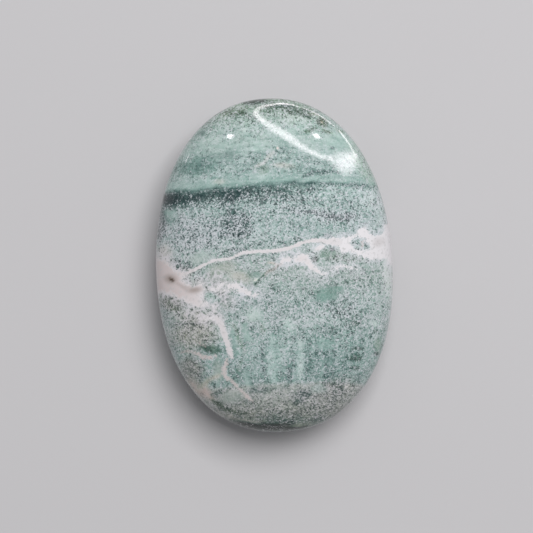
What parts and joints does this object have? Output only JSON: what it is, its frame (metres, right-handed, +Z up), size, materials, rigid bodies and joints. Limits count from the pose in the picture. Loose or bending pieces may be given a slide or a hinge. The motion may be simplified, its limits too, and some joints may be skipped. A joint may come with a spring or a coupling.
{
  "type": "palm stone",
  "caption": "Oval palm stone, polished from banded mossy green agate with pale veins, domed on both faces, resting on a small flat spot.",
  "frame": {"origin": "centre of the small flat spot that the stone rests on, under the middle of its outline", "axes": "+Z up through the thickness, out of the shown face; +Y along the length, towards the slightly narrower end; +X across the width"},
  "size_m": [0.051, 0.072, 0.024],
  "materials": {
    "polished_agate": "high polish; opaque moss green agate, finely speckled with pale and dark grains, banded, crossed by bone-white quartz veins"
  },
  "bodies": {
    "root": {"palm_stone": "polished_agate"}
  },
  "joints": []
}
